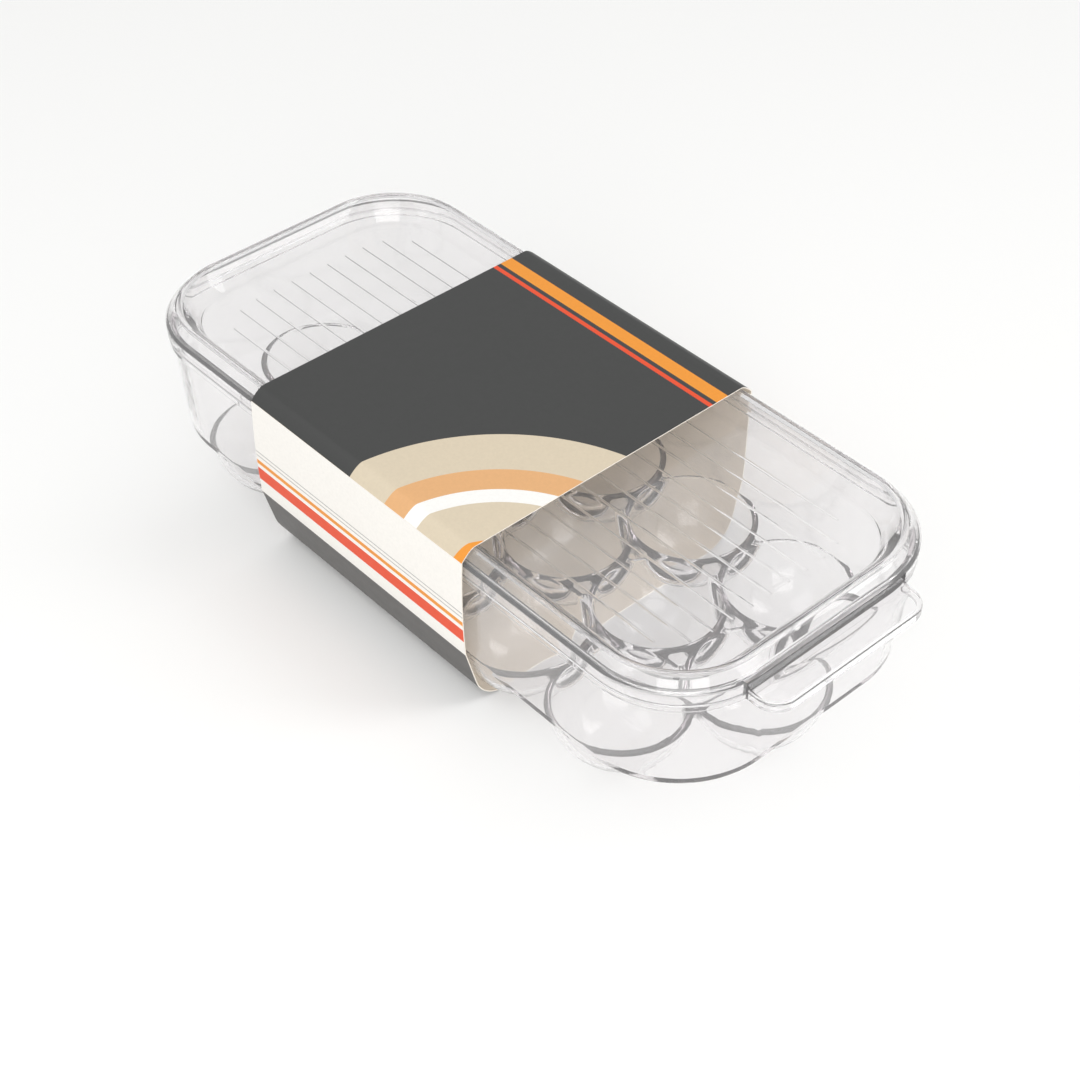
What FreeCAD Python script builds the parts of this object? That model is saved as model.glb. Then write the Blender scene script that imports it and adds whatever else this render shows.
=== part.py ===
import FreeCAD, Part
import math
import os

# Clear egg box with a lift-off lid, held shut by a printed carton band.
# X runs along the box with the handle at +X, Y across it and Z up. The origin lies under the
# middle of the whole object, on the surface that it stands on. Lengths are millimetres.

# Overall sizes of the closed box, without its handle and band
BOX_LENGTH = 314.0
BOX_WIDTH = 143.0
BOX_HEIGHT = 77.0
RIM_CORNER = 39.0

# Tray
WALL = 2.2
WALL_FOOT_INSET = 2.4
WALL_TOP_INSET = 1.8
UPSTAND = 1.4
UPSTAND_ROUND = 0.5
FOOT_CORNER = 42.0
FOOT_ROUND = 1.6
FLANGE_INSET = 0.4
FLANGE_THICK = 2.5
FLANGE_ROUND = 0.6
HANDLE_WIDTH = 78.0
HANDLE_REACH = 12.8
HANDLE_CORNER = 9.0
HANDLE_RISE = 1.9
HANDLE_PLATE = 2.0
HANDLE_LIP = 2.0
HANDLE_LIP_DROP = 1.6
HANDLE_ROUND = 0.8
HANDLE_RAMP = 9.4

# Egg cups, in staggered rows: the middle row holds one cup more than the outer rows
MIDDLE_ROW_COUNT = 6
CUP_RIDGE = 3.6
ROW_RIDGE = 1.4
CUP_DEPTH = 23.2
CUP_COLLAR = 2.0
CUP_WALL = 2.6
CUP_FOOT_RADIUS = 9.0
CUP_BULGE = 3.6
CUP_EDGE_ROUND = 1.0
WEB_ROUND = 1.8
RIDGE_ROUND_SHARE = 0.4
END_MARGIN = 1.6
SIDE_MARGIN = 0.3

# Lid
LID_WALL = 2.0
BEAD_WIDTH = 14.0
BEAD_HEIGHT = 8.9
CROWN_INSET = 5.3
CROWN_WIDTH = 1.4
BEAD_BULGE = 0.3
CROWN_ROUND = 1.2
SHOULDER_DROP = 5.4
SHOULDER_ROUND = 1.5
SKIRT_DROP = 11.0
SKIRT_ROUND = 0.5
RIB_COUNT = 11
RIB_PITCH = 9.16
RIB_WIDTH = 1.3
RIB_HEIGHT = 0.22
RIB_END_GAP = 12.8
RIB_END_SAG = 10.5

# Carton band
CARD = 0.4
BAND_LENGTH = 123.0
BAND_SETBACK = 85.3
BAND_BULGE = 0.7
CREASE_DROP = 4.0
LOWER_CREASE_RISE = 3.3
LOWER_LEAN = 4.6
LOWER_PANEL_SHARE = 0.6

# Clearances between pieces, and the overrun of every cut
SEAT_CLEARANCE = 0.3
LID_CLEARANCE = 0.6
NOTCH_CLEARANCE = 0.5
CARD_CLEARANCE = 0.3
PARTING = 0.1
OVERRUN = 1.0

# Levels, from the surface up
base_z = CARD + CARD_CLEARANCE
top_z = base_z + BOX_HEIGHT
panel_z = top_z - BEAD_HEIGHT
shoulder_z = top_z - SHOULDER_DROP
skirt_z = top_z - SKIRT_DROP
flange_z = skirt_z - SEAT_CLEARANCE
handle_z = flange_z + HANDLE_RISE
upstand_z = shoulder_z - LID_CLEARANCE

# Plan sizes that follow from the rim
rim_x = -HANDLE_REACH / 2
upstand_inset = LID_WALL + LID_CLEARANCE
floor_inset = WALL_FOOT_INSET + WALL
floor_length = BOX_LENGTH - 2 * floor_inset
floor_half_width = BOX_WIDTH / 2 - floor_inset - SIDE_MARGIN

# Cup pitch and radius: six cups fill the floor's length, and three rows fill its width
cup_pitch = (floor_length - 2 * END_MARGIN + CUP_RIDGE) / MIDDLE_ROW_COUNT
row_term = 4 * ROW_RIDGE + 2 * floor_half_width
row_square = floor_half_width ** 2 + (cup_pitch / 2) ** 2 - ROW_RIDGE ** 2
row_radius = (math.sqrt(row_term ** 2 + 12 * row_square) - row_term) / 6
cup_radius = min((cup_pitch - CUP_RIDGE) / 2, row_radius)
row_pitch = floor_half_width - cup_radius
ridge = min(cup_pitch, math.hypot(cup_pitch / 2, row_pitch)) - 2 * cup_radius
edge_round = min(CUP_EDGE_ROUND, RIDGE_ROUND_SHARE * ridge)
floor_z = base_z + WALL + CUP_DEPTH


def rim_point(along, across, z):
    """A point placed from the centre of the rim."""
    return FreeCAD.Vector(rim_x + along, across, z)


def corners(half_length, half_width):
    """Signed corner places of a rectangle and the side that leads to each, anticlockwise."""
    signs = ((1, -1), (1, 1), (-1, 1), (-1, -1))
    return [(90 * turn, half_length * x, half_width * y) for turn, (x, y) in enumerate(signs)]


def outline(inset, radius, z):
    """Rounded rectangle that lies inside the rim's outline by an inset."""
    edges = []
    first = rim_point(0, inset - BOX_WIDTH / 2, z)
    previous = first
    for turn, x, y in corners(BOX_LENGTH / 2 - inset - radius, BOX_WIDTH / 2 - inset - radius):
        angles = [math.radians(turn + step) for step in (-90, -45, 0)]
        spots = [rim_point(x + radius * math.cos(a), y + radius * math.sin(a), z) for a in angles]
        edges.append(Part.LineSegment(previous, spots[0]).toShape())
        edges.append(Part.Arc(*spots).toShape())
        previous = spots[2]
    edges.append(Part.LineSegment(previous, first).toShape())
    return Part.Wire(edges)


def prism(inset, z_low, z_high):
    """Straight block inside the rim's outline, with corners on the rim's own centres."""
    face = Part.Face(outline(inset, RIM_CORNER - inset, z_low))
    return face.extrude(FreeCAD.Vector(0, 0, z_high - z_low))


def rim_sweep(section):
    """Carry a section, drawn in insets along +Y from the origin, once round the rim."""
    reach_x = BOX_LENGTH / 2 - RIM_CORNER
    reach_y = BOX_WIDTH / 2 - RIM_CORNER
    upright = FreeCAD.Vector(0, 0, 1)
    runs = []
    for turn, x, y in corners(reach_x, reach_y):
        along = FreeCAD.Vector(math.cos(math.radians(turn)), math.sin(math.radians(turn)), 0)
        outward = along.cross(upright)
        start = section.copy()
        start.rotate(FreeCAD.Vector(0, 0, 0), upright, turn)
        start.translate(rim_point(x, y, 0) + outward * RIM_CORNER)
        length = 2 * (reach_y if turn % 180 else reach_x)
        runs.append(start.extrude(along * -length))
        runs.append(start.revolve(rim_point(x, y, 0), upright, 90))
    return runs[0].fuse(runs[1:]).removeSplitter()


def taper(low, high):
    """Block whose sides lean between two outlines, each an inset, a corner radius and a level."""
    return Part.makeLoft([outline(*low), outline(*high)], True, True)


def block(x_range, y_range, z_range):
    """Plain box between pairs of limits."""
    low = FreeCAD.Vector(x_range[0], y_range[0], z_range[0])
    size = FreeCAD.Vector(x_range[1], y_range[1], z_range[1]) - low
    return Part.makeBox(size.x, size.y, size.z, low)


def cup_places():
    """Centres of the cups on the floor, row by row."""
    for row, count in ((-1, MIDDLE_ROW_COUNT - 1), (0, MIDDLE_ROW_COUNT), (1, MIDDLE_ROW_COUNT - 1)):
        for i in range(count):
            yield rim_point((i - (count - 1) / 2) * cup_pitch, row * row_pitch, floor_z)


def bowl(centre, thickness, z_top):
    """Cup with bulged sides and a flat foot, grown outwards by a thickness and filled to a level."""
    def spot(radius, z):
        return FreeCAD.Vector(centre.x - radius, centre.y, z)

    foot = spot(CUP_FOOT_RADIUS + thickness / 2, floor_z - CUP_DEPTH - min(thickness, WALL))
    brim = spot(cup_radius + thickness, floor_z - CUP_COLLAR)
    middle = (foot + brim) / 2
    outward = FreeCAD.Vector(foot.z - brim.z, 0, brim.x - foot.x).normalize()
    side = Part.Arc(foot, middle + outward * CUP_BULGE, brim).toShape()
    rest = [brim, spot(cup_radius + thickness, z_top), spot(0, z_top), spot(0, foot.z), foot]
    edges = [side] + [Part.LineSegment(a, b).toShape() for a, b in zip(rest, rest[1:])]
    return Part.Face(Part.Wire(edges)).revolve(centre, FreeCAD.Vector(0, 0, 1), 360)


def on_level(edge, z):
    """Whether all of an edge lies on a level."""
    box = edge.BoundBox
    return abs(box.ZMin - z) < Part.Precision.confusion() and box.ZLength < Part.Precision.confusion()


def rim_edges(shape, inset, z):
    """Edges that run round the rim on a level, at an inset from its outline."""
    found = []
    for edge in shape.Edges:
        spot = edge.valueAt((edge.FirstParameter + edge.LastParameter) / 2)
        past_x = max(abs(spot.x - rim_x) - BOX_LENGTH / 2 + RIM_CORNER, 0)
        past_y = max(abs(spot.y) - BOX_WIDTH / 2 + RIM_CORNER, 0)
        away = RIM_CORNER - math.hypot(past_x, past_y) - inset
        if on_level(edge, z) and abs(away) < Part.Precision.confusion():
            found.append(edge)
    return found


def end_sag(half_width):
    """How far the rim's rounded corners have drawn in at a distance from the middle of the end."""
    past = max(half_width - BOX_WIDTH / 2 + RIM_CORNER, 0)
    return RIM_CORNER - math.sqrt(RIM_CORNER ** 2 - past ** 2)


def handle_block(inset, z_low, z_high):
    """Block over the handle's outline, from inside the end wall to the tip, less an inset."""
    x_start = rim_x + BOX_LENGTH / 2 - WALL_TOP_INSET - WALL / 2 - end_sag(HANDLE_WIDTH / 2)
    x_tip = rim_x + BOX_LENGTH / 2 + HANDLE_REACH - inset
    half = HANDLE_WIDTH / 2 - inset
    shape = block((x_start, x_tip), (-half, half), (z_low, z_high))
    upright = [e for e in shape.Edges if e.BoundBox.XMin > x_start and e.BoundBox.ZLength > 0
               and e.BoundBox.XLength < Part.Precision.confusion()
               and e.BoundBox.YLength < Part.Precision.confusion()]
    return shape.makeFillet(HANDLE_CORNER - inset, upright)


def handle_ramp():
    """Hollow curve that leads from the handle's plate up to the upstand."""
    def spot(x, z):
        return FreeCAD.Vector(x, HANDLE_ROUND - HANDLE_WIDTH / 2, z)

    face_x = rim_x + BOX_LENGTH / 2 - upstand_inset
    foot_x = face_x + HANDLE_RAMP
    head_z = upstand_z - UPSTAND_ROUND
    rise = head_z - handle_z
    radius = (HANDLE_RAMP ** 2 + rise ** 2) / (2 * rise)
    half_turn = math.asin(HANDLE_RAMP / radius) / 2
    middle = spot(foot_x - radius * math.sin(half_turn), handle_z + radius * (1 - math.cos(half_turn)))
    curve = Part.Arc(spot(face_x, head_z), middle, spot(foot_x, handle_z)).toShape()
    root_x = face_x - UPSTAND / 2
    root_z = handle_z - HANDLE_PLATE / 2
    rest = [spot(foot_x, handle_z), spot(foot_x, root_z), spot(root_x, root_z), spot(root_x, head_z),
            spot(face_x, head_z)]
    edges = [curve] + [Part.LineSegment(a, b).toShape() for a, b in zip(rest, rest[1:])]
    return Part.Face(Part.Wire(edges)).extrude(FreeCAD.Vector(0, HANDLE_WIDTH - 2 * HANDLE_ROUND, 0))


def make_handle():
    """Pull tab with a lip turned down round its edge, hollow below, and a ramp at its root."""
    plate_z = handle_z - HANDLE_PLATE
    tab = handle_block(0, plate_z - HANDLE_LIP_DROP, handle_z)
    brim = [e for e in tab.Edges if on_level(e, handle_z)
            and e.BoundBox.XMax > rim_x + BOX_LENGTH / 2]
    tab = tab.makeFillet(HANDLE_ROUND, brim)
    hollow = handle_block(HANDLE_LIP, plate_z - HANDLE_LIP_DROP - OVERRUN, plate_z)
    return tab.cut(hollow).fuse(handle_ramp())


def web_edges(shape):
    """Lower edges of the webs, where the outsides of two neighbouring cups meet."""
    bulged = (Part.Toroid, Part.SurfaceOfRevolution)
    found = []
    for edge in shape.Edges:
        sides = [f for f in shape.ancestorsOfType(edge, Part.Face) if isinstance(f.Surface, bulged)]
        if len(sides) == 2 and not sides[0].isSame(sides[1]) and edge.BoundBox.ZLength > CUP_COLLAR:
            found.append(edge)
    return found


def make_tray():
    """Tray moulding: leaning wall, flange, handle and a floor of egg cups."""
    inner_inset = upstand_inset + UPSTAND
    body = taper((WALL_FOOT_INSET, FOOT_CORNER, floor_z - WALL),
                 (WALL_TOP_INSET, RIM_CORNER - WALL_TOP_INSET, flange_z))
    foot = [e for e in body.Edges if on_level(e, floor_z - WALL)]
    body = body.makeFillet(FOOT_ROUND, foot)
    flange = prism(FLANGE_INSET, flange_z - FLANGE_THICK, flange_z)
    flange = flange.makeFillet(FLANGE_ROUND, rim_edges(flange, FLANGE_INSET, flange_z - FLANGE_THICK))
    upstand = prism(upstand_inset, flange_z - FLANGE_THICK, upstand_z)
    upstand = upstand.makeFillet(UPSTAND_ROUND, rim_edges(upstand, upstand_inset, upstand_z))
    body = body.fuse([flange, upstand, make_handle()])
    body = body.cut(taper((floor_inset, FOOT_CORNER - WALL, floor_z),
                          (inner_inset, RIM_CORNER - inner_inset, upstand_z)))
    shells = []
    hollows = []
    for centre in cup_places():
        shells.append(bowl(centre, CUP_WALL, floor_z - WALL / 2))
        hollows.append(bowl(centre, 0, floor_z + OVERRUN))
    body = body.fuse(shells).removeSplitter()
    body = body.makeFillet(WEB_ROUND, web_edges(body)).cut(hollows).removeSplitter()
    rings = [e for e in body.Edges if on_level(e, floor_z)
             and isinstance(e.Curve, Part.Circle)
             and abs(e.Curve.Radius - cup_radius) < Part.Precision.confusion()]
    return body.makeFillet(edge_round, rings)


def bead_profile():
    """Section of the lid's hollow bead and skirt, drawn in insets from the rim's outline."""
    def spot(inset, z):
        return FreeCAD.Vector(0, inset, z)

    def bulged(start, end):
        middle = (start + end) / 2
        outward = FreeCAD.Vector(0, start.z - end.z, end.y - start.y).normalize()
        return Part.Arc(start, middle + outward * BEAD_BULGE, end).toShape()

    crown_end = CROWN_INSET + CROWN_WIDTH
    skirt_low = spot(0, skirt_z)
    skirt_top = spot(0, shoulder_z)
    crown_out = spot(CROWN_INSET, top_z)
    crown_in = spot(crown_end, top_z)
    toe_top = spot(BEAD_WIDTH, panel_z)
    inner = [
        toe_top,
        spot(BEAD_WIDTH, panel_z - LID_WALL),
        spot(BEAD_WIDTH - LID_WALL, panel_z - LID_WALL),
        spot(crown_end, top_z - LID_WALL),
        spot(CROWN_INSET, top_z - LID_WALL),
        spot(LID_WALL, shoulder_z),
        spot(LID_WALL, skirt_z),
        skirt_low,
    ]
    edges = [Part.LineSegment(skirt_low, skirt_top).toShape(), bulged(skirt_top, crown_out)]
    edges += [Part.LineSegment(crown_out, crown_in).toShape(), bulged(crown_in, toe_top)]
    edges += [Part.LineSegment(a, b).toShape() for a, b in zip(inner, inner[1:])]
    return Part.Face(Part.Wire(edges))


def make_ribs():
    """Fine rounded ribs along the panel, shorter towards its sides."""
    half_count = (RIB_COUNT - 1) / 2
    for i in range(RIB_COUNT):
        share = (i - half_count) / half_count
        reach = BOX_LENGTH / 2 - BEAD_WIDTH - RIB_END_GAP - RIB_END_SAG * abs(share) ** 7
        across = (i - half_count) * RIB_PITCH
        near = rim_point(-reach, across - RIB_WIDTH / 2, panel_z)
        far = rim_point(-reach, across + RIB_WIDTH / 2, panel_z)
        root = FreeCAD.Vector(0, 0, LID_WALL / 2)
        edges = [Part.Arc(near, rim_point(-reach, across, panel_z + RIB_HEIGHT), far).toShape()]
        rest = [far, far - root, near - root, near]
        edges += [Part.LineSegment(a, b).toShape() for a, b in zip(rest, rest[1:])]
        section = Part.Face(Part.Wire(edges))
        yield section.extrude(FreeCAD.Vector(2 * reach, 0, 0))


def make_lid():
    """Lid moulding: sunk ribbed panel, raised bead and a skirt notched for the handle."""
    rim = rim_sweep(bead_profile())
    crown = rim_edges(rim, CROWN_INSET, top_z) + rim_edges(rim, CROWN_INSET + CROWN_WIDTH, top_z)
    rim = rim.makeFillet(CROWN_ROUND, crown)
    rim = rim.makeFillet(SHOULDER_ROUND, rim_edges(rim, 0, shoulder_z))
    rim = rim.makeFillet(SKIRT_ROUND, rim_edges(rim, 0, skirt_z))
    panel = prism(BEAD_WIDTH - LID_WALL / 2, panel_z - LID_WALL, panel_z)
    lid = rim.fuse([panel] + list(make_ribs()))
    end = rim_x + BOX_LENGTH / 2
    half = HANDLE_WIDTH / 2 + NOTCH_CLEARANCE
    depth = LID_WALL + LID_CLEARANCE / 2 + end_sag(half)
    notch = block((end - depth, end + OVERRUN), (-half, half), (skirt_z - OVERRUN, shoulder_z))
    return lid.cut(notch).removeSplitter()


def band_outline():
    """Inner outline of the closed band across the box, at the far edge of the band."""
    def spot(across, z):
        return FreeCAD.Vector(rim_x - BOX_LENGTH / 2 + BAND_SETBACK, across, z)

    crease_y = BOX_WIDTH / 2 + CARD_CLEARANCE
    bend_y = BOX_WIDTH / 2 - CROWN_INSET
    bend_z = top_z + CARD_CLEARANCE
    crease_z = bend_z - CREASE_DROP
    low_z = floor_z + LOWER_CREASE_RISE
    lower_run = LOWER_PANEL_SHARE * (low_z - CARD)
    corner_y = crease_y - LOWER_LEAN * (low_z - CARD) / lower_run
    lean = math.atan2(LOWER_LEAN, lower_run)
    arc_start = spot(crease_y - LOWER_LEAN, low_z - lower_run)
    tangent = (arc_start - spot(corner_y, CARD)).Length
    radius = tangent / math.tan((math.pi / 2 - lean) / 2)
    arc_end = spot(corner_y - tangent, CARD)
    centre = spot(corner_y - tangent, CARD + radius)
    middle_turn = (math.pi / 2 - lean) / 2
    arc_middle = centre + FreeCAD.Vector(0, math.sin(middle_turn), -math.cos(middle_turn)) * radius

    half = [
        Part.LineSegment(spot(0, bend_z), spot(bend_y, bend_z)).toShape(),
        Part.LineSegment(spot(bend_y, bend_z), spot(crease_y, crease_z)).toShape(),
        Part.Arc(spot(crease_y, crease_z), spot(crease_y + BAND_BULGE, (crease_z + low_z) / 2),
                 spot(crease_y, low_z)).toShape(),
        Part.LineSegment(spot(crease_y, low_z), arc_start).toShape(),
        Part.Arc(arc_start, arc_middle, arc_end).toShape(),
        Part.LineSegment(arc_end, spot(0, CARD)).toShape(),
    ]
    mirrored = [e.mirror(FreeCAD.Vector(0, 0, 0), FreeCAD.Vector(0, 1, 0)) for e in half]
    return Part.Wire(Part.__sortEdges__(half + mirrored)), crease_z


def make_band():
    """Carton band, parted at its two top creases: the top panel, and the wrap below it."""
    inner, crease_z = band_outline()
    outer = inner.makeOffset2D(CARD, 2)
    section = Part.Face(outer).cut(Part.Face(inner))
    band = section.extrude(FreeCAD.Vector(BAND_LENGTH, 0, 0))
    box = band.BoundBox
    x_range = (box.XMin - OVERRUN, box.XMax + OVERRUN)
    y_range = (box.YMin - OVERRUN, box.YMax + OVERRUN)
    above = block(x_range, y_range, (crease_z, box.ZMax + OVERRUN))
    below = block(x_range, y_range, (box.ZMin - OVERRUN, crease_z - PARTING))
    return band.common(above), band.common(below)


os.makedirs("parts", exist_ok=True)
band_top, band_wrap = make_band()
pieces = {
    "tray": make_tray(),
    "lid": make_lid(),
    "sleeve_top": band_top,
    "sleeve_wrap": band_wrap,
}
for name, shape in pieces.items():
    solids = shape.Solids
    print(name, "solids", len(solids), "valid", shape.isValid(), "volume", round(shape.Volume))
    solid = solids[0] if len(solids) == 1 else Part.makeCompound(solids)
    solid.exportStep("parts/" + name + ".step")
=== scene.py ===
import math

import bpy
from mathutils import Matrix, Vector


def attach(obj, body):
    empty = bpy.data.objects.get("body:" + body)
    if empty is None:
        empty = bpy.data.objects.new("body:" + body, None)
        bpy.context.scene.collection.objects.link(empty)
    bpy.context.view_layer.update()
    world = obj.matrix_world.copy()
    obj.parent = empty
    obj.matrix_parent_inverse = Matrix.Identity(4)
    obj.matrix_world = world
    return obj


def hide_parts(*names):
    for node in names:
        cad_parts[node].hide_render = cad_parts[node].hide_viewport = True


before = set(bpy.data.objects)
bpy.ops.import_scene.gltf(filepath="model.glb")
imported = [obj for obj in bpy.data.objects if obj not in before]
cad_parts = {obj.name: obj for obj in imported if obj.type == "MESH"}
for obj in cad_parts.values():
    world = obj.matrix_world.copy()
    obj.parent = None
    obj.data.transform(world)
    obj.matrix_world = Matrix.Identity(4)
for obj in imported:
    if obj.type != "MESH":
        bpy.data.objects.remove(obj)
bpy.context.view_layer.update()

MM = 0.001

# Camera of the photograph: focal length over the frame's width, angles in degrees, lengths in millimetres
FOCAL_SHARE = 1.94878
VIEW_AZIMUTH = 48.4465
VIEW_ELEVATION = 41.978
VIEW_DISTANCE = 787.19
VIEW_ROLL = -0.4771
VIEW_TARGET = (25.736, -18.849, 40.0)
SENSOR = 36.0
CLIP_START = 0.01

# Carton band in millimetres: its ends along the box, and its outer outline across it
CARD = 0.4
BAND_START = -78.1
BAND_END = 44.9
TOP_FLAT = 66.3
TOP_Z = 78.4
CREASE_Y = 72.2
CREASE_Z = 74.02
SEAM_Z = 73.88
SIDE_BULGE = 0.7
LOWER_CREASE_Z = 29.35
LOWER_FOOT = (67.62, 11.85)
FLAT_MARGIN = 3.0
DROOP_POWER = 1.5

# Steps of the band's curves, and how meshes are joined and smoothed (metres and degrees)
DROOP_STEPS = 12
SIDE_STEPS = 10
UNDER_STEPS = 8
ON_FOLD = 1e-5
WELD = 1e-5
CARD_SMOOTH = 20
PLASTIC_SMOOTH = 32

# Places of the bare back and the cut edge in a sheet's finishes, after the printed face
BACK_FINISH = 1
EDGE_FINISH = 2

# Ink and card colours
CHARCOAL = (0.046, 0.047, 0.046)
CREAM = (0.865, 0.840, 0.795)
ORANGE = (0.807, 0.296, 0.03)
VERMILION = (0.76, 0.075, 0.021)
BEIGE = (0.65, 0.56, 0.42)
TAN = (0.72, 0.40, 0.18)
WHITE_INK = (0.88, 0.87, 0.84)
GREY_INK = (0.42, 0.41, 0.40)
RAW_CARD = (0.94, 0.84, 0.705)
RAW_FIBRE = (0.88, 0.78, 0.645)
UNDER_GREY = (0.110, 0.106, 0.102)

# Print in millimetres: stripes between two limits, rings by their radii from the largest inwards
TOP_STRIPES = ((53.0, 59.0, ORANGE), (49.0, 51.0, VERMILION))
RING_CENTRE = (70.0, -78.0)
RINGS = ((88.0, BEIGE), (68.0, TAN), (57.0, WHITE_INK), (50.0, BEIGE), (30.0, ORANGE), (19.0, BEIGE))
SIDE_STRIPES = ((36.0, 42.0, VERMILION), (44.0, 46.0, ORANGE), (48.0, 48.5, GREY_INK), (50.0, 50.5, GREY_INK))
CREASE_MARGIN = 0.3

# Card surface: noise scales, and how far each noise moves the tone, the gloss and the relief
FLECK_SCALE = 900.0
FLECK_BASE = 0.94
FLECK_SPAN = 0.12
SATIN_SCALE = 260.0
SATIN_BASE = 0.42
SATIN_SPAN = 0.12
CARD_SPECULAR = 0.4
GRAIN_SCALE = 1400.0
GRAIN_STRENGTH = 0.12
GRAIN_DEPTH = 0.0001
FIBRE_SCALE = 420.0
PLY_SCALE = 700.0
NOISE_DETAIL = 4.0

# Clear plastic: a faint tint at each face, haze in the polish, and a tint that grows with depth
PLASTIC_COLOUR = (0.980, 0.978, 0.979, 1.0)
PLASTIC_IOR = 1.49
PLASTIC_CLEAR = 0.955
HAZE_SCALE = 34.0
HAZE_SPAN = 0.03
HAZE_CUT = 0.01
NO_TINT = (1.0, 1.0, 1.0, 1.0)
DEPTH_COLOUR = (0.66, 0.585, 0.62, 1.0)
DEPTH_DENSITY = 18.0

# Studio in metres and watts: floor, soft lights by place, size and power, and the air around
FLOOR_SIZE = 12
FLOOR_COLOUR = (0.9, 0.9, 0.89, 1.0)
FLOOR_ROUGH = 0.9
LIGHT_AIM = (0, 0, 0.04)
SOFTBOXES = (
    ("key", (-0.6, -1.0, 1.75), (1.6, 1.6), 9),
    ("back", (0.9, 1.0, 1.4), (0.6, 1.2), 7),
    ("fill", (1.2, -0.9, 0.8), (1.2, 1.4), 12),
)
WORLD_COLOUR = (0.9, 0.9, 0.9, 1.0)
WORLD_STRENGTH = 0.78
BOUNCES = 32


def deselect():
    """Leave edit mode and select nothing."""
    if bpy.context.object and bpy.context.object.mode != "OBJECT":
        bpy.ops.object.mode_set(mode="OBJECT")
    bpy.ops.object.select_all(action="DESELECT")


def only(obj):
    """Make one object the selected and active one."""
    deselect()
    obj.select_set(True)
    bpy.context.view_layer.objects.active = obj


def apply_modifiers(obj):
    """Apply an object's modifiers in order."""
    only(obj)
    for name in [m.name for m in obj.modifiers]:
        bpy.ops.object.modifier_apply(modifier=name)


# Material helpers
def new_material(name):
    """A node material with its Principled shader."""
    mat = bpy.data.materials.new(name)
    mat.use_nodes = True
    return mat, mat.node_tree.nodes["Principled BSDF"]


def node(mat, kind, **settings):
    """A node with settings."""
    made = mat.node_tree.nodes.new(kind)
    for key, value in settings.items():
        setattr(made, key, value)
    return made


def feed(mat, socket, value):
    """Link a socket, or set its value."""
    if isinstance(value, bpy.types.NodeSocket):
        mat.node_tree.links.new(value, socket)
    else:
        socket.default_value = value


def calc(mat, operation, a, b=0.0):
    """A math node's result."""
    made = node(mat, "ShaderNodeMath", operation=operation)
    feed(mat, made.inputs[0], a)
    feed(mat, made.inputs[1], b)
    return made.outputs[0]


def object_coords(mat):
    """Object coordinates in metres."""
    return node(mat, "ShaderNodeTexCoord").outputs["Object"]


def axes_of(mat, coords, names):
    """The named axes of coordinates, in millimetres."""
    parts = node(mat, "ShaderNodeSeparateXYZ")
    feed(mat, parts.inputs[0], coords)
    return [calc(mat, "MULTIPLY", parts.outputs[name], 1 / MM) for name in names]


def over(mat, mask, below, above):
    """Ink of one colour laid over another where the mask is 1."""
    made = node(mat, "ShaderNodeMix", data_type="RGBA")
    feed(mat, made.inputs["Factor"], mask)
    for name, colour in (("A", below), ("B", above)):
        socket = [s for s in made.inputs if s.name == name and s.type == "RGBA"][0]
        feed(mat, socket, (*colour, 1.0) if isinstance(colour, tuple) else colour)
    return [s for s in made.outputs if s.type == "RGBA"][0]


def within(mat, value, low, high):
    """1 where a value lies between two limits."""
    return calc(mat, "MULTIPLY", calc(mat, "GREATER_THAN", value, low), calc(mat, "LESS_THAN", value, high))


def stripes(mat, value, colour, table):
    """Stripes of ink laid over a colour, each between two limits of a value."""
    for low, high, ink in table:
        colour = over(mat, within(mat, value, low, high), colour, ink)
    return colour


def distance(mat, x, y, centre):
    """Distance from a point in the plane."""
    dx = calc(mat, "POWER", calc(mat, "SUBTRACT", x, centre[0]), 2.0)
    dy = calc(mat, "POWER", calc(mat, "SUBTRACT", y, centre[1]), 2.0)
    return calc(mat, "SQRT", calc(mat, "ADD", dx, dy))


def noise(mat, coords, scale):
    """Noise value on object coordinates."""
    made = node(mat, "ShaderNodeTexNoise")
    feed(mat, made.inputs["Vector"], coords)
    made.inputs["Scale"].default_value = scale
    made.inputs["Detail"].default_value = NOISE_DETAIL
    return made.outputs["Fac"]


def bump(mat, shader, height, strength, depth):
    """Surface relief from a height."""
    made = node(mat, "ShaderNodeBump")
    made.inputs["Strength"].default_value = strength
    made.inputs["Distance"].default_value = depth
    feed(mat, made.inputs["Height"], height)
    feed(mat, shader.inputs["Normal"], made.outputs[0])


def clear_plastic():
    """Polished clear plastic, which lets shadow and diffuse light straight through."""
    mat, shader = new_material("clear_plastic")
    shader.inputs["Base Color"].default_value = PLASTIC_COLOUR
    haze = calc(mat, "MULTIPLY", noise(mat, object_coords(mat), HAZE_SCALE), HAZE_SPAN)
    feed(mat, shader.inputs["Roughness"], calc(mat, "MAXIMUM", calc(mat, "SUBTRACT", haze, HAZE_CUT), 0.0))
    shader.inputs["IOR"].default_value = PLASTIC_IOR
    shader.inputs["Transmission Weight"].default_value = PLASTIC_CLEAR
    clear = node(mat, "ShaderNodeBsdfTransparent")
    clear.inputs["Color"].default_value = NO_TINT
    path = node(mat, "ShaderNodeLightPath").outputs
    mix = node(mat, "ShaderNodeMixShader")
    feed(mat, mix.inputs[0], calc(mat, "MAXIMUM", path["Is Shadow Ray"], path["Is Diffuse Ray"]))
    feed(mat, mix.inputs[1], shader.outputs[0])
    feed(mat, mix.inputs[2], clear.outputs[0])
    tint = node(mat, "ShaderNodeVolumeAbsorption")
    tint.inputs["Color"].default_value = DEPTH_COLOUR
    tint.inputs["Density"].default_value = DEPTH_DENSITY
    output = mat.node_tree.nodes["Material Output"]
    feed(mat, output.inputs["Surface"], mix.outputs[0])
    feed(mat, output.inputs["Volume"], tint.outputs[0])
    return mat


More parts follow.
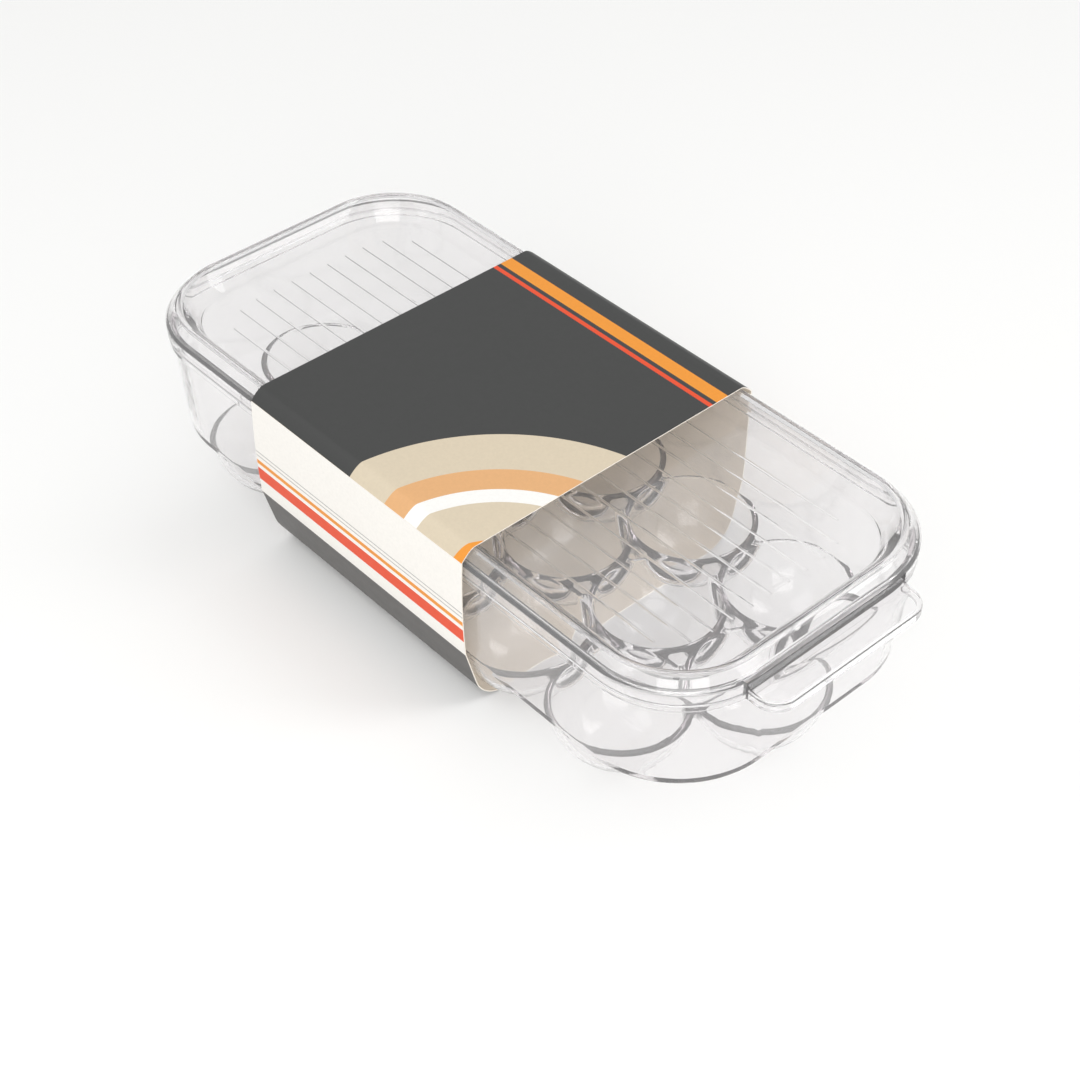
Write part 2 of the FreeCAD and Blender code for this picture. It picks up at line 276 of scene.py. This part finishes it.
def card_finish(name, paint):
    """Satin card: paint gives the colour from the object coordinates."""
    mat, shader = new_material(name)
    coords = object_coords(mat)
    tone = node(mat, "ShaderNodeHueSaturation")
    fleck = calc(mat, "MULTIPLY", noise(mat, coords, FLECK_SCALE), FLECK_SPAN)
    feed(mat, tone.inputs["Value"], calc(mat, "ADD", FLECK_BASE, fleck))
    feed(mat, tone.inputs["Color"], paint(mat, coords))
    feed(mat, shader.inputs["Base Color"], tone.outputs[0])
    satin = calc(mat, "MULTIPLY", noise(mat, coords, SATIN_SCALE), SATIN_SPAN)
    feed(mat, shader.inputs["Roughness"], calc(mat, "ADD", SATIN_BASE, satin))
    shader.inputs["Specular IOR Level"].default_value = CARD_SPECULAR
    bump(mat, shader, noise(mat, coords, GRAIN_SCALE), GRAIN_STRENGTH, GRAIN_DEPTH)
    return mat


def paint_top(mat, coords):
    """Top panel: charcoal with quarter rings round the near corner and stripes along the far side."""
    x, y = axes_of(mat, coords, "XY")
    colour = stripes(mat, y, CHARCOAL, TOP_STRIPES)
    reach = distance(mat, x, y, RING_CENTRE)
    for radius, ink in RINGS:
        colour = over(mat, calc(mat, "LESS_THAN", reach, radius), colour, ink)
    return colour


def paint_wrap(mat, coords):
    """Wrap: cream sides with stripes all along, dark grey below the lower crease."""
    z = axes_of(mat, coords, "Z")[0]
    colour = stripes(mat, z, CREAM, SIDE_STRIPES)
    return over(mat, calc(mat, "LESS_THAN", z, LOWER_CREASE_Z - CREASE_MARGIN), colour, UNDER_GREY)


def paint_bare(mat, coords):
    """Bare beige board, mottled by its fibres."""
    return over(mat, noise(mat, coords, FIBRE_SCALE), RAW_CARD, RAW_FIBRE)


def paint_cut_edge(mat, coords):
    """Cut edge of the card, with its plies."""
    return over(mat, noise(mat, coords, PLY_SCALE), CREAM, RAW_CARD)


# Clear mouldings
def moulding(node_name, piece_name, plastic):
    """Smoothed visual copy of a moulded node."""
    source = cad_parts[node_name]
    piece = bpy.data.objects.new(piece_name, source.data.copy())
    bpy.context.scene.collection.objects.link(piece)
    only(piece)
    bpy.ops.mesh.customdata_custom_splitnormals_clear()
    bpy.ops.object.mode_set(mode="EDIT")
    bpy.ops.mesh.select_all(action="SELECT")
    bpy.ops.mesh.remove_doubles(threshold=WELD)
    bpy.ops.object.mode_set(mode="OBJECT")
    bpy.ops.object.shade_smooth_by_angle(angle=math.radians(PLASTIC_SMOOTH))
    piece.data.materials.clear()
    piece.data.materials.append(plastic)
    return piece


# Carton band
def droop():
    """Points of the top panel's edge, easing down from the flat to the top crease."""
    points = []
    for i in range(1, DROOP_STEPS + 1):
        share = i / DROOP_STEPS
        z = TOP_Z + (CREASE_Z - TOP_Z) * share ** DROOP_POWER
        points.append((TOP_FLAT + (CREASE_Y - TOP_FLAT) * share, z))
    return points


def side_arc():
    """Points of the bulged side panel, from the top crease down to the lower crease."""
    points = []
    for i in range(1, SIDE_STEPS + 1):
        share = i / SIDE_STEPS
        z = SEAM_Z + (LOWER_CREASE_Z - SEAM_Z) * share
        points.append((CREASE_Y + SIDE_BULGE * 4 * share * (1 - share), z))
    return points


def under_curve():
    """Points from the flat underside out and up to the foot of the lower panel."""
    foot_y, foot_z = LOWER_FOOT
    lean = math.atan2(CREASE_Y - foot_y, LOWER_CREASE_Z - foot_z)
    turn = math.pi / 2 - lean
    radius = foot_z / (1 - math.cos(turn))
    start = foot_y - radius * math.sin(turn)
    points = []
    for i in range(1, UNDER_STEPS + 1):
        angle = turn * i / UNDER_STEPS
        points.append((start + radius * math.sin(angle), radius * (1 - math.cos(angle))))
    return start, points


def fold_out(obj, start, points):
    """Extrude an edge of a sheet through points across the box, on both sides."""
    for side in (1, -1):
        y, z = start
        bpy.ops.mesh.select_all(action="DESELECT")
        bpy.ops.object.mode_set(mode="OBJECT")
        fold_y, fold_z = side * y * MM, z * MM
        for edge in obj.data.edges:
            ends = [obj.data.vertices[i].co for i in edge.vertices]
            edge.select = all(abs(v.y - fold_y) < ON_FOLD and abs(v.z - fold_z) < ON_FOLD for v in ends)
        bpy.ops.object.mode_set(mode="EDIT")
        for next_y, next_z in points:
            move = (0, side * (next_y - y) * MM, (next_z - z) * MM)
            bpy.ops.mesh.extrude_edges_move(TRANSFORM_OT_translate={"value": move})
            y, z = next_y, next_z


def sheet(name, half_width, level, points, faces_up, finishes):
    """Card sheet: a flat strip, folded down or up along its sides and given its thickness."""
    deselect()
    bpy.ops.mesh.primitive_plane_add(size=1, location=((BAND_START + BAND_END) / 2 * MM, 0, level * MM))
    obj = bpy.context.object
    obj.name = name
    obj.scale = ((BAND_END - BAND_START) * MM, 2 * half_width * MM, 1)
    bpy.ops.object.transform_apply(location=True, rotation=True, scale=True)
    bpy.ops.object.mode_set(mode="EDIT")
    bpy.context.tool_settings.mesh_select_mode = (False, True, False)
    fold_out(obj, (half_width, level), points)
    bpy.ops.mesh.select_all(action="SELECT")
    bpy.ops.mesh.normals_make_consistent(inside=False)
    bpy.ops.object.mode_set(mode="OBJECT")
    up = max(obj.data.polygons, key=lambda p: p.area).normal.z > 0
    if up != faces_up:
        bpy.ops.object.mode_set(mode="EDIT")
        bpy.ops.mesh.select_all(action="SELECT")
        bpy.ops.mesh.flip_normals()
        bpy.ops.object.mode_set(mode="OBJECT")
    for finish in finishes:
        obj.data.materials.append(finish)
    thick = obj.modifiers.new("thickness", "SOLIDIFY")
    thick.thickness = CARD * MM
    thick.offset = -1
    thick.use_even_offset = True
    thick.material_offset = BACK_FINISH
    thick.material_offset_rim = EDGE_FINISH
    apply_modifiers(obj)
    bpy.ops.object.shade_smooth_by_angle(angle=math.radians(CARD_SMOOTH))
    return obj


# Pieces: each card sheet has its printed face, its bare back and its cut edge
raw_card = card_finish("raw_card", paint_bare)
card_edge = card_finish("card_edge", paint_cut_edge)
top_finishes = (card_finish("ink_top", paint_top), raw_card, card_edge)
top_points = [(TOP_FLAT, TOP_Z)] + droop()
band_top = sheet("band_top", TOP_FLAT - FLAT_MARGIN, TOP_Z, top_points, True, top_finishes)
wrap_finishes = (card_finish("ink_wrap", paint_wrap), raw_card, card_edge)
under_start, under_points = under_curve()
wrap_points = under_points + side_arc()[::-1] + [(CREASE_Y, SEAM_Z)]
band_wrap = sheet("band_wrap", under_start, 0.0, wrap_points, False, wrap_finishes)
plastic = clear_plastic()
tray = moulding("tray", "clear_tray", plastic)
lid = moulding("lid", "clear_lid", plastic)

for piece, body, slot in ((tray, "tray", "clear_plastic"), (lid, "lid", "clear_plastic"),
                          (band_top, "sleeve_top", "card_dark"), (band_wrap, "sleeve_wrap", "card_light")):
    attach(piece, body)
    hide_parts(body)


# Floor, light and camera
def floor():
    """Plain pale floor."""
    deselect()
    bpy.ops.mesh.primitive_plane_add(size=FLOOR_SIZE, location=(0, 0, 0))
    obj = bpy.context.object
    obj.name = "floor"
    mat, shader = new_material("floor")
    shader.inputs["Base Color"].default_value = FLOOR_COLOUR
    shader.inputs["Roughness"].default_value = FLOOR_ROUGH
    obj.data.materials.append(mat)


def softbox(name, place, size, power):
    """Area light aimed at the box."""
    data = bpy.data.lights.new(name, "AREA")
    data.shape = "RECTANGLE"
    data.size, data.size_y = size
    data.energy = power
    obj = bpy.data.objects.new(name, data)
    bpy.context.scene.collection.objects.link(obj)
    obj.location = place
    aim = Vector(LIGHT_AIM) - Vector(place)
    obj.rotation_euler = aim.to_track_quat("-Z", "Y").to_euler()


def camera():
    """Camera at the photograph's place."""
    azimuth, elevation, roll = (math.radians(a) for a in (VIEW_AZIMUTH, VIEW_ELEVATION, VIEW_ROLL))
    level = math.cos(elevation)
    back = Vector((math.sin(azimuth) * level, -math.cos(azimuth) * level, math.sin(elevation)))
    right = (-back).cross(Vector((0, 0, 1))).normalized()
    up = right.cross(-back)
    right, up = right * math.cos(roll) + up * math.sin(roll), up * math.cos(roll) - right * math.sin(roll)
    data = bpy.data.cameras.new("camera")
    data.sensor_width = SENSOR
    data.lens = FOCAL_SHARE * SENSOR
    data.clip_start = CLIP_START
    obj = bpy.data.objects.new("camera", data)
    bpy.context.scene.collection.objects.link(obj)
    place = (Vector(VIEW_TARGET) + back * VIEW_DISTANCE) * MM
    turn = Matrix((right, up, back)).transposed().to_4x4()
    obj.matrix_world = Matrix.Translation(place) @ turn
    bpy.context.scene.camera = obj


floor()
for box in SOFTBOXES:
    softbox(*box)
camera()
world = bpy.data.worlds.new("studio")
world.use_nodes = True
air = world.node_tree.nodes["Background"]
air.inputs["Color"].default_value = WORLD_COLOUR
air.inputs["Strength"].default_value = WORLD_STRENGTH
scene = bpy.context.scene
scene.world = world
scene.view_settings.view_transform = "Standard"
scene.cycles.max_bounces = BOUNCES
scene.cycles.transmission_bounces = BOUNCES
scene.cycles.use_denoising = True
